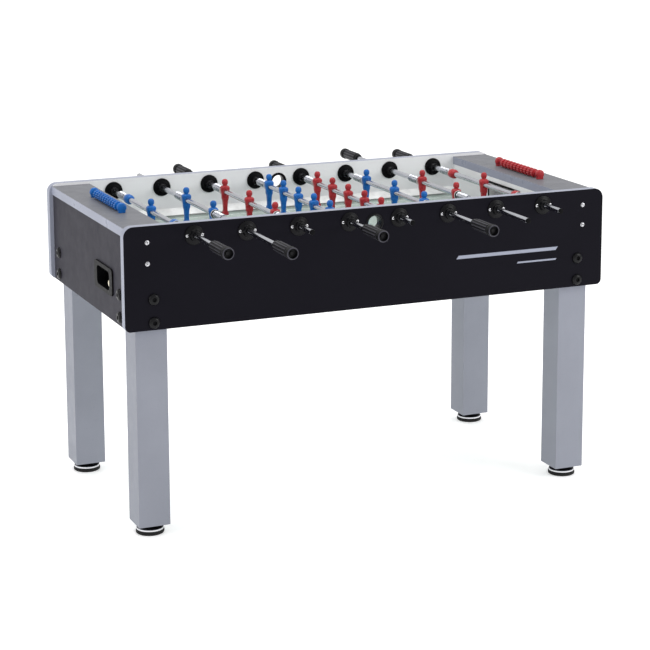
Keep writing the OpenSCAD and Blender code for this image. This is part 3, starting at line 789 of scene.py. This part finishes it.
def foot(corner):
    """Rubber pad with rounded edges, bright ring, black cone, nut and threaded stem."""
    node = corner + "_foot"
    low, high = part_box(node)
    pad_r = (high[X] - low[X]) / 2
    stem_r = 6 * MM
    ring_r = pad_r - 2.5 * MM
    profile = [
        (0, 0), (0, pad_r - 3 * MM), (1.5 * MM, pad_r - 0.8 * MM), (3 * MM, pad_r),
        (8 * MM, pad_r), (10.5 * MM, pad_r - 0.8 * MM), (11.5 * MM, ring_r),
        (12 * MM, ring_r + 0.6 * MM), (16 * MM, ring_r + 0.6 * MM), (17 * MM, ring_r - 0.6 * MM),
        (17.2 * MM, ring_r - 3 * MM), (20 * MM, ring_r - 8 * MM), (23.5 * MM, 20 * MM),
        (25.5 * MM, 15 * MM), (26 * MM, 14 * MM), (29.8 * MM, 14 * MM), (29.9 * MM, stem_r),
    ]
    thread_start, turns, pitch = 30.2 * MM, 40, 1.6 * MM
    for k in range(turns):
        profile.append((thread_start + k * pitch, stem_r))
        profile.append((thread_start + (k + 0.5) * pitch, stem_r - 0.8 * MM))
    profile.append((thread_start + turns * pitch, 0))

    def slot_of(i):
        """Rubber up to the pad's edge, then the ring, the cone, and the nut and stem."""
        if i < 6:
            return 0
        return 2 if 9 <= i < 13 else 1

    nut_low, nut_high = 25.8 * MM, 29.85 * MM

    def nut(t, r, angle):
        if nut_low < t < nut_high:
            turned = (angle + pi / 6) % (pi / 3) - pi / 6
            return min(r * 1.06, r * 0.94 / cos(turned))
        return r

    bm = lathe(profile, 72, ripple=nut, slot_of=slot_of)
    to_up = at(centre(node, X), centre(node, Y), low[Z]) @ Matrix.Rotation(pi / 2, 4, "X")
    bmesh.ops.transform(bm, matrix=to_up, verts=bm.verts)
    piece(node + "_assembly", bm, node, [FOOT_RUBBER, SCREW_CHROME, BLACK_PLASTIC],
          [node])


for corner in ("front_left", "front_right", "rear_left", "rear_right"):
    foot(corner)


# ---- Score counters ----

COVER_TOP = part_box("top_covers")[1][Z]
BEAD_SPAN = {team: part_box(team + "_score_beads") for team in ("blue", "red")}


def bead_row(team):
    """Ten beads in a row on a counter's bar, each with a toothed rib round it."""
    low, high = BEAD_SPAN[team]
    count, teeth = 10, 12
    length = (high[Y] - low[Y]) / count
    radius = (high[Z] - low[Z]) / 2
    body = radius - 4.2 * MM
    bore = 3.4 * MM
    profile = [
        (0.1 * MM, bore), (0.1 * MM, body - 2 * MM), (1.2 * MM, body - 0.3 * MM),
        (length * 0.19, body), (length * 0.20, radius - 0.8 * MM), (length * 0.25, radius),
        (length * 0.75, radius), (length * 0.80, radius - 0.8 * MM), (length * 0.81, body),
        (length - 1.2 * MM, body - 0.3 * MM), (length - 0.1 * MM, body - 2 * MM),
        (length - 0.1 * MM, bore), (0.1 * MM, bore),
    ]

    def ribs(t, r, angle):
        if r < radius - 1 * MM:
            return r
        return r - 1.8 * MM * (0.5 + 0.5 * cos(teeth * angle)) ** 2

    x, z = (low[X] + high[X]) / 2, (low[Z] + high[Z]) / 2
    places = [at(x, low[Y] + k * length, z) for k in range(count)]
    bm = merged(lathe(profile, 8 * teeth, ripple=ribs), places)
    piece(team + "_beads", bm, team + "_score_beads", [TEAM[team]],
          [team + "_score_beads"])


def counter_posts():
    """Round-topped end posts on both counters, with the bar between them."""
    bars, posts = bmesh.new(), bmesh.new()
    low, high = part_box("score_counter_frames")
    thick = 7 * MM
    post_r = 13.8 * MM
    half = (high[Y] - low[Y]) / 2 - thick
    post = [
        (-thick, 0), (-thick, post_r * 0.7), (-thick + 1 * MM, post_r * 0.88),
        (-thick + 3 * MM, post_r * 0.985), (0, post_r), (thick - 3 * MM, post_r * 0.985),
        (thick - 1 * MM, post_r * 0.88), (thick, post_r * 0.7), (thick, 0),
    ]
    for team in ("blue", "red"):
        box = BEAD_SPAN[team]
        x, z = (box[0][X] + box[1][X]) / 2, (box[0][Z] + box[1][Z]) / 2
        bar = lathe([(-half, 0), (-half, 3 * MM), (half, 3 * MM), (half, 0)], 24)
        add_copy(bars, bar, at(x, 0, z))
        bar.free()
        for end in (-1, 1):
            knob = lathe(post, 48)
            add_copy(posts, knob, at(x, end * half, z + 1 * MM))
            knob.free()
            foot_block = bmesh.new()
            bmesh.ops.create_cube(foot_block, size=1.0)
            size = Matrix.Diagonal((20 * MM, 2 * thick - 0.4 * MM, z - COVER_TOP, 1))
            bmesh.ops.transform(foot_block, matrix=size, verts=foot_block.verts)
            bmesh.ops.bevel(foot_block, geom=foot_block.edges[:], offset=1.2 * MM, segments=2,
                            affect="EDGES")
            add_copy(posts, foot_block, at(x, end * half, (z + COVER_TOP) / 2))
            foot_block.free()
    for face in posts.faces:
        face.material_index = 0 if face.calc_center_median().x < 0 else 1
    piece("counter_bars", bars, "cabinet", [CHROME])
    piece("counter_posts", posts, "cabinet", [TEAM["blue"], TEAM["red"]],
          ["score_counter_frames"])


bead_row("blue")
bead_row("red")
counter_posts()


# ---- Men ----

def man_sections():
    """(height over the rod, half depth, half width, squareness) up a man's body."""
    w = MAN_WIDTH / MM / 2
    feet = [
        (-74.0, 9.8, 8.8, 6.0), (-73.2, 10.2, 9.1, 6.0), (-67.5, 10.0, 9.0, 5.0),
        (-64.0, 8.2, 8.6, 3.6), (-60.0, 6.9, 8.0, 3.0),
    ]
    legs = [
        (-54.0, 6.6, 7.8, 2.8), (-46.0, 7.4, 8.5, 2.7), (-40.0, 7.7, 8.7, 2.7),
        (-35.0, 7.9, 8.9, 2.7), (-29.0, 8.8, 9.4, 2.7), (-26.2, 9.2, 9.8, 2.8),
    ]
    shorts = [
        (-25.6, 10.3, 10.7, 2.9), (-20.0, 10.9, 11.3, 2.8), (-14.0, 11.2, 11.6, 2.7),
        (-9.0, 11.2, 11.3, 2.6),
    ]
    shirt = [
        (-8.2, 11.7, 11.7, 2.7), (-4.0, 12.3, 12.1, 2.7), (2.0, 13.4, 12.6, 2.8),
        (7.0, 14.2, w - 0.1, 3.0), (11.0, 14.2, w, 3.0), (14.2, 13.0, w - 0.2, 2.9),
        (16.4, 10.4, w - 1.6, 2.6),
    ]
    head = [
        (17.6, 7.2, 8.2, 2.2), (18.6, 6.4, 6.8, 2.0), (19.6, 6.3, 6.4, 2.0),
        (21.0, 7.8, 7.2, 2.0), (23.0, 8.9, 8.2, 2.1), (26.0, 9.5, 8.7, 2.1),
        (29.0, 9.6, 8.8, 2.0), (32.0, 9.2, 8.4, 2.0), (34.8, 8.0, 7.2, 2.0),
        (36.9, 5.8, 5.3, 2.0), (38.2, 2.9, 2.7, 2.0),
    ]
    return feet + legs + shorts + shirt + head


def rounded_power(value, squareness):
    size = abs(value) ** (2 / squareness)
    return size if value >= 0 else -size


def man_body(facing):
    """A loft up the body, with a groove between the legs and a plain nose."""
    sides = 28
    between_legs, on_face = (-62, -27), (23, 30)
    bm = bmesh.new()
    rings = []
    for height, depth, width, square in man_sections():
        ring = []
        for k in range(sides):
            angle = 2 * pi * (k + 0.5) / sides
            x = depth * rounded_power(cos(angle), square)
            y = width * rounded_power(sin(angle), square)
            if between_legs[0] < height < between_legs[1]:
                x *= 1 - 0.42 * exp(-((y / 1.9) ** 2))
            if on_face[0] <= height <= on_face[1] and x * facing > 0:
                x += facing * 1.1 * exp(-((y / 1.8) ** 2) - ((height - 26) / 2.2) ** 2)
            ring.append(bm.verts.new((x * MM, y * MM, height * MM)))
        rings.append(ring)
    for lower, upper in zip(rings, rings[1:]):
        for k in range(sides):
            n = (k + 1) % sides
            bm.faces.new((lower[k], lower[n], upper[n], upper[k]))
    bm.faces.new(rings[0][::-1])
    bm.faces.new(rings[-1])
    return bm


def limb(points, steps=12):
    """A closed tube through (x, y, z, radius) points, in millimetres."""
    bm = bmesh.new()
    rings = []
    for x, y, z, r in points:
        rings.append([
            bm.verts.new((
                (x + r * cos(2 * pi * k / steps)) * MM,
                (y + 0.62 * r * sin(2 * pi * k / steps)) * MM,
                z * MM,
            ))
            for k in range(steps)
        ])
    for lower, upper in zip(rings, rings[1:]):
        for k in range(steps):
            n = (k + 1) % steps
            bm.faces.new((lower[k], upper[k], upper[n], lower[n]))
    bm.faces.new(rings[0])
    bm.faces.new(rings[-1][::-1])
    return bm


def man(facing):
    """Body, arms held down at the sides, and the boss that grips the rod."""
    whole = man_body(facing)
    w = MAN_WIDTH / MM / 2
    arm = [
        (0.0, w - 3.2, 13.4, 1.2), (0.0, w - 2.2, 12.0, 3.6), (0.0, w - 1.6, 8.0, 4.0),
        (0.3, w - 1.5, 0.0, 3.5), (0.9, w - 1.8, -8.0, 3.1), (1.4, w - 2.2, -14.0, 3.2),
        (1.7, w - 2.4, -18.5, 2.6), (1.8, w - 2.6, -20.5, 1.0),
    ]
    tube = limb([(x * facing, y, z, r) for x, y, z, r in arm])
    add_copy(whole, tube, Matrix.Identity(4))
    add_copy(whole, tube, Matrix.Diagonal((1, -1, 1, 1)))
    tube.free()
    half = MAN_WIDTH / 2
    edge = 1.2 * MM
    boss = lathe([
        (-half, ROD_R + FIT_GAP), (-half, 10.2 * MM - edge), (-half + edge, 10.2 * MM),
        (-half + 3 * edge, 10.8 * MM), (half - 3 * edge, 10.8 * MM), (half - edge, 10.2 * MM),
        (half, 10.2 * MM - edge), (half, ROD_R + FIT_GAP), (-half, ROD_R + FIT_GAP),
    ], 32)
    add_copy(whole, boss, Matrix.Identity(4))
    boss.free()
    bmesh.ops.recalc_face_normals(whole, faces=whole.faces)
    return whole


def men_and_collars(rod, team, kind, facing):
    node = rod + "_players"
    low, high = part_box(node)
    middle = (low[Y] + high[Y]) / 2
    count = MEN_COUNT[kind]
    pitch = (high[Y] - low[Y] - MAN_WIDTH) / (count - 1) if count > 1 else 0
    places = [at(ROD_X[rod], middle + (k - (count - 1) / 2) * pitch, ROD_Z) for k in range(count)]
    bm = merged(man(facing), places)
    made = piece(rod + "_men", bm, rod + "_rod", [TEAM[team]], [node])
    smooth = made.modifiers.new("smooth", "SUBSURF")
    smooth.levels = 1
    smooth.render_levels = 1
    if kind != "goalie":
        return
    collar_r, length = 14.75 * MM, 30 * MM
    profile = [
        (0, ROD_R + FIT_GAP), (0, collar_r - 2 * MM), (1 * MM, collar_r - 0.6 * MM),
        (3 * MM, collar_r), (length - 9 * MM, collar_r), (length - 4 * MM, collar_r - 1.6 * MM),
        (length - 1 * MM, collar_r - 4.4 * MM), (length, ROD_R + 1 * MM),
        (length, ROD_R + FIT_GAP), (0, ROD_R + FIT_GAP),
    ]
    collar = lathe(profile, 40)
    far = at(ROD_X[rod], high[Y], ROD_Z) @ TURN
    near = at(ROD_X[rod], low[Y], ROD_Z)
    piece(rod + "_stop_collars", merged(collar, [far, near]), rod + "_rod", [TEAM[team]])


# ---- Rods, handles, bumpers and springs ----

STACK_GAP = 0.3 * MM
WASHER_THICK = 2 * MM
BUMPER_LENGTH = 5.2 * MM
SPRING_FREE = 62 * MM
SPRING_WIRE = 2 * MM
SPRING_PITCH = 4.6 * MM
LEAST_SHARE = 0.03


def rod_tube(rod):
    low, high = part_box(rod + "_rod")
    length = high[Y] - low[Y]
    wall = 2.5 * MM
    chamfer = 0.6 * MM
    profile = [
        (0, ROD_R - wall), (0, ROD_R - chamfer), (chamfer, ROD_R), (length / 3, ROD_R),
        (2 * length / 3, ROD_R), (length - chamfer, ROD_R), (length, ROD_R - chamfer),
        (length, ROD_R - wall), (0, ROD_R - wall),
    ]
    bm = merged(lathe(profile, 40), [at(ROD_X[rod], low[Y], ROD_Z)])
    piece(rod + "_tube", bm, rod + "_rod", [CHROME], [rod + "_rod"])


def grip(rod, side):
    """A fluted grip with a collar and a hollow end knob; and the rod's end plug. The
    ribs between the flutes and the end rim get lighter rubber as a painted highlight."""
    low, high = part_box(rod + "_handle")
    length, knob = 122 * MM, 20 * MM
    start = length - knob
    bore = ROD_R + FIT_GAP
    ribs = 12
    rib_r = 16 * MM
    flute_depth, knurl_depth = 1.6 * MM, 0.5 * MM
    ribs_end = start - 5 * MM

    def shape(t, r, angle):
        if 11 * MM < t < ribs_end and r > 14.5 * MM:
            return r - flute_depth * (0.5 - 0.5 * cos(ribs * angle)) ** 0.7
        if t > start + 3 * MM and r > 16.4 * MM:
            return r - knurl_depth * (0.5 + 0.5 * cos(2 * ribs * angle)) ** 4
        return r

    profile = [
        (0, bore), (0, 11.6 * MM), (1 * MM, 12.6 * MM), (3 * MM, 13 * MM), (8.4 * MM, 13 * MM),
        (9.4 * MM, 12.4 * MM), (10 * MM, 12.4 * MM), (10.8 * MM, 14.4 * MM),
        (12.5 * MM, rib_r - 0.3 * MM), (14 * MM, rib_r), (50 * MM, rib_r),
        (start - 7 * MM, rib_r), (start - 5.2 * MM, rib_r - 0.4 * MM),
        (start - 4.4 * MM, 13.4 * MM), (start - 1 * MM, 13.4 * MM),
        (start, 15 * MM), (start + 2 * MM, 16.8 * MM),
        (start + 4 * MM, 17.4 * MM), (length - 4 * MM, 17.4 * MM),
        (length - 1.6 * MM, 16.8 * MM), (length - 0.3 * MM, 15.6 * MM), (length, 14.6 * MM),
        (length - 0.6 * MM, 13.6 * MM), (length - 3 * MM, 13 * MM),
        (length - 12 * MM, 12.4 * MM), (length - 12 * MM, 6 * MM), (length - 8 * MM, 5 * MM),
        (length - 8 * MM, 0),
    ]
    bm = lathe(profile, 8 * ribs, ripple=shape)
    # Painted highlight: rib crests and the end rim take the lighter rubber, the grooves keep the
    # dark base.
    for face in bm.faces:
        middle = face.calc_center_median()
        reach = (middle.x ** 2 + middle.z ** 2) ** 0.5
        on_rib = reach > rib_r - 0.7 * MM and middle.y < ribs_end
        on_rim = middle.y > length - 2 * MM and reach > 14 * MM
        face.material_index = 1 if on_rib or on_rim else 0
    facing = TURN if side < 0 else Matrix.Identity(4)
    tip = low[Y] if side < 0 else high[Y]
    place = at(ROD_X[rod], tip - side * length, ROD_Z) @ facing
    bmesh.ops.transform(bm, matrix=place, verts=bm.verts)
    piece(rod + "_grip", bm, rod + "_rod", [GRIP_RUBBER, GRIP_PAINTED_HIGHLIGHT],
          [rod + "_handle"])
    stub = high[Y] if side < 0 else low[Y]
    rim = 4 * MM
    plug = lathe([
        (0, 0), (0, ROD_R - 1.6 * MM), (0.6 * MM, ROD_R - 0.5 * MM), (rim * 0.5, ROD_R),
        (rim, ROD_R), (rim, 5.4 * MM), (rim + 14 * MM, 5.0 * MM), (rim + 15 * MM, 4 * MM),
        (rim + 15 * MM, 0),
    ], 40)
    bmesh.ops.transform(plug, matrix=at(ROD_X[rod], stub, ROD_Z) @ facing, verts=plug.verts)
    piece(rod + "_end_plug", plug, rod + "_rod", [BLACK_PLASTIC])


def bumpers(rod):
    """A pale washer and a waisted rubber bumper at each end of the men."""
    node = rod + "_bumpers"
    low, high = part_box(node)
    radius = (high[Z] - low[Z]) / 2
    bore = ROD_R + 0.4 * MM
    men_low, men_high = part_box(rod + "_players")
    washer = WASHER_THICK
    length = washer + BUMPER_LENGTH
    body = radius - 1 * MM
    ring = lathe(ring_profile(0, washer, radius, bore, 0.4 * MM), 40)
    waist = lathe([
        (washer, bore), (washer, body - 0.8 * MM), (washer + 0.8 * MM, body),
        (washer + 1.6 * MM, body), (washer + 2.2 * MM, body - 1.2 * MM),
        (length - 2.2 * MM, body - 1.2 * MM), (length - 1.6 * MM, body),
        (length - 0.8 * MM, body), (length, body - 1 * MM), (length, bore), (washer, bore),
    ], 40)
    for face in waist.faces:
        face.material_index = 1
    add_copy(ring, waist, Matrix.Identity(4))
    waist.free()
    places = [
        at(ROD_X[rod], men_high[Y] + STACK_GAP, ROD_Z),
        at(ROD_X[rod], men_low[Y] - STACK_GAP, ROD_Z) @ TURN,
    ]
    piece(rod + "_bumper_rings", merged(ring, places), node, [WASHER_WHITE, BUMPER_RUBBER],
          [node])


def coil(length, radius, wire, turns, per_turn=18, sides=6):
    """A compression spring along +Y from y = 0, with closed end turns."""
    bm = bmesh.new()
    steps = turns * per_turn
    rings = []
    closed = 1.0
    for i in range(steps + 1):
        turn = i / steps * turns
        if turn < closed:
            y = wire * (0.5 + turn)
        elif turn > turns - closed:
            y = length - wire * (0.5 + (turns - turn))
        else:
            run = length - 3 * wire
            y = 1.5 * wire + run * (turn - closed) / (turns - 2 * closed)
        y = min(max(y, wire / 2), length - wire / 2)
        angle = 2 * pi * turn
        out = Vector((cos(angle), 0, sin(angle)))
        centre_line = out * (radius - wire / 2) + Vector((0, y, 0))
        rings.append([
            bm.verts.new(
                centre_line + out * (wire / 2 * cos(2 * pi * k / sides))
                + Vector((0, wire / 2 * sin(2 * pi * k / sides), 0))
            )
            for k in range(sides)
        ])
    for a, b in zip(rings, rings[1:]):
        for k in range(sides):
            n = (k + 1) % sides
            bm.faces.new((a[k], a[n], b[n], b[k]))
    bm.faces.new(rings[0][::-1])
    bm.faces.new(rings[-1])
    bmesh.ops.recalc_face_normals(bm, faces=bm.faces)
    return bm


def spring(rod, end):
    """A bumper's long spring at the +Y or -Y end. It shortens as its bumper nears the
    bearing, and at that limit it just fits between them. A squash shortens in
    proportion to the joint's longer limit, so share is this end's part of that."""
    joint_name = rod + "_slide"
    joint = next(j for j in frame["joints"] if j["name"] == joint_name)
    reach = abs(joint["range_m"][1 if end > 0 else 0])
    share = reach / max(abs(value) for value in joint["range_m"])
    men_low, men_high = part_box(rod + "_players")
    men_end = men_high[Y] if end > 0 else men_low[Y]
    start = men_end + end * (STACK_GAP + WASHER_THICK + BUMPER_LENGTH + 0.1 * MM)
    room = NOSE_TIP_Y - abs(start) - reach - 0.2 * MM
    length = min(SPRING_FREE, room / (1 - share * (1 - LEAST_SHARE)))
    turns = max(5, round(length / SPRING_PITCH))
    bm = coil(length, SPRING_R, SPRING_WIRE, turns)
    base = at(ROD_X[rod], start, ROD_Z)
    place = base if end > 0 else base @ TURN
    bmesh.ops.transform(bm, matrix=place, verts=bm.verts)
    made = piece(f"{rod}_spring_{'far' if end > 0 else 'near'}", bm, rod + "_bumpers",
                 [SPRING_STEEL])
    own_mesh(made)


for rod in ROD_NAMES:
    team, kind = rod.split("_")
    blue = team == "blue"
    rod_tube(rod)
    men_and_collars(rod, team, kind, 1 if blue else -1)
    grip(rod, -1 if blue else 1)
    bumpers(rod)
    for end in (-1, 1):
        spring(rod, end)


# ---- Floor, light and camera ----

def floor():
    bm = bmesh.new()
    bmesh.ops.create_grid(bm, x_segments=4, y_segments=4, size=30.0)
    mesh = bpy.data.meshes.new("floor")
    bm.to_mesh(mesh)
    bm.free()
    s = Surface("floor_white")
    s.shader.inputs["Emission Color"].default_value = (1.0, 1.0, 1.0, 1.0)
    s.shader.inputs["Emission Strength"].default_value = 0.4
    tone = s.mix(s.noise(2.0), rgb(246, 246, 246), rgb(250, 250, 250))
    mesh.materials.append(s.finish(tone, 0.6))
    made = bpy.data.objects.new("floor", mesh)
    made.location.z = -0.5 * MM
    bpy.context.scene.collection.objects.link(made)


def area_light(name, place, target, size, power):
    data = bpy.data.lights.new(name, "AREA")
    data.shape = "RECTANGLE"
    data.size, data.size_y = size
    data.energy = power
    made = bpy.data.objects.new(name, data)
    made.location = place
    made.rotation_euler = (Vector(target) - Vector(place)).to_track_quat("-Z", "Y").to_euler()
    bpy.context.scene.collection.objects.link(made)


def world(strength):
    made = bpy.data.worlds.new("studio")
    made.use_nodes = True
    background = made.node_tree.nodes["Background"]
    background.inputs["Color"].default_value = (1.0, 1.0, 1.0, 1.0)
    background.inputs["Strength"].default_value = strength
    bpy.context.scene.world = made


def camera(azimuth, elevation, roll, distance, target, lens, shift_y):
    """Look at target from a distance; azimuth 0 looks along +Y."""
    az, el, turn = radians(azimuth), radians(elevation), radians(roll)
    back = Vector((sin(az) * cos(el), -cos(az) * cos(el), sin(el)))
    level = Vector((cos(az), sin(az), 0))
    upright = back.cross(level)
    right = level * cos(turn) + upright * sin(turn)
    up = back.cross(right)
    place = Vector(target) + back * distance
    data = bpy.data.cameras.new("camera")
    data.sensor_width = 36
    data.lens = lens
    data.shift_y = shift_y
    data.clip_end = 100
    made = bpy.data.objects.new("camera", data)
    made.matrix_world = Matrix((
        (right.x, up.x, back.x, place.x),
        (right.y, up.y, back.y, place.y),
        (right.z, up.z, back.z, place.z),
        (0, 0, 0, 1),
    ))
    bpy.context.scene.collection.objects.link(made)
    bpy.context.scene.camera = made


floor()
world(0.75)
area_light("left", (-4.0, -0.5, 2.4), (0, 0, 0.6), (2.5, 2.5), 30)
area_light("right", (3.2, -3.4, 2.6), (0.3, 0, 0.6), (2.5, 2.5), 75)
area_light("top", (0, 0.5, 4.0), (0, 0, 0.8), (3.0, 2.0), 70)
camera(-23.007, 10.997, -0.193, 6.2205, (0.0095, 0, PANEL_TOP - 0.0908), 113.581, -0.17)

bpy.context.scene.view_settings.view_transform = "Standard"
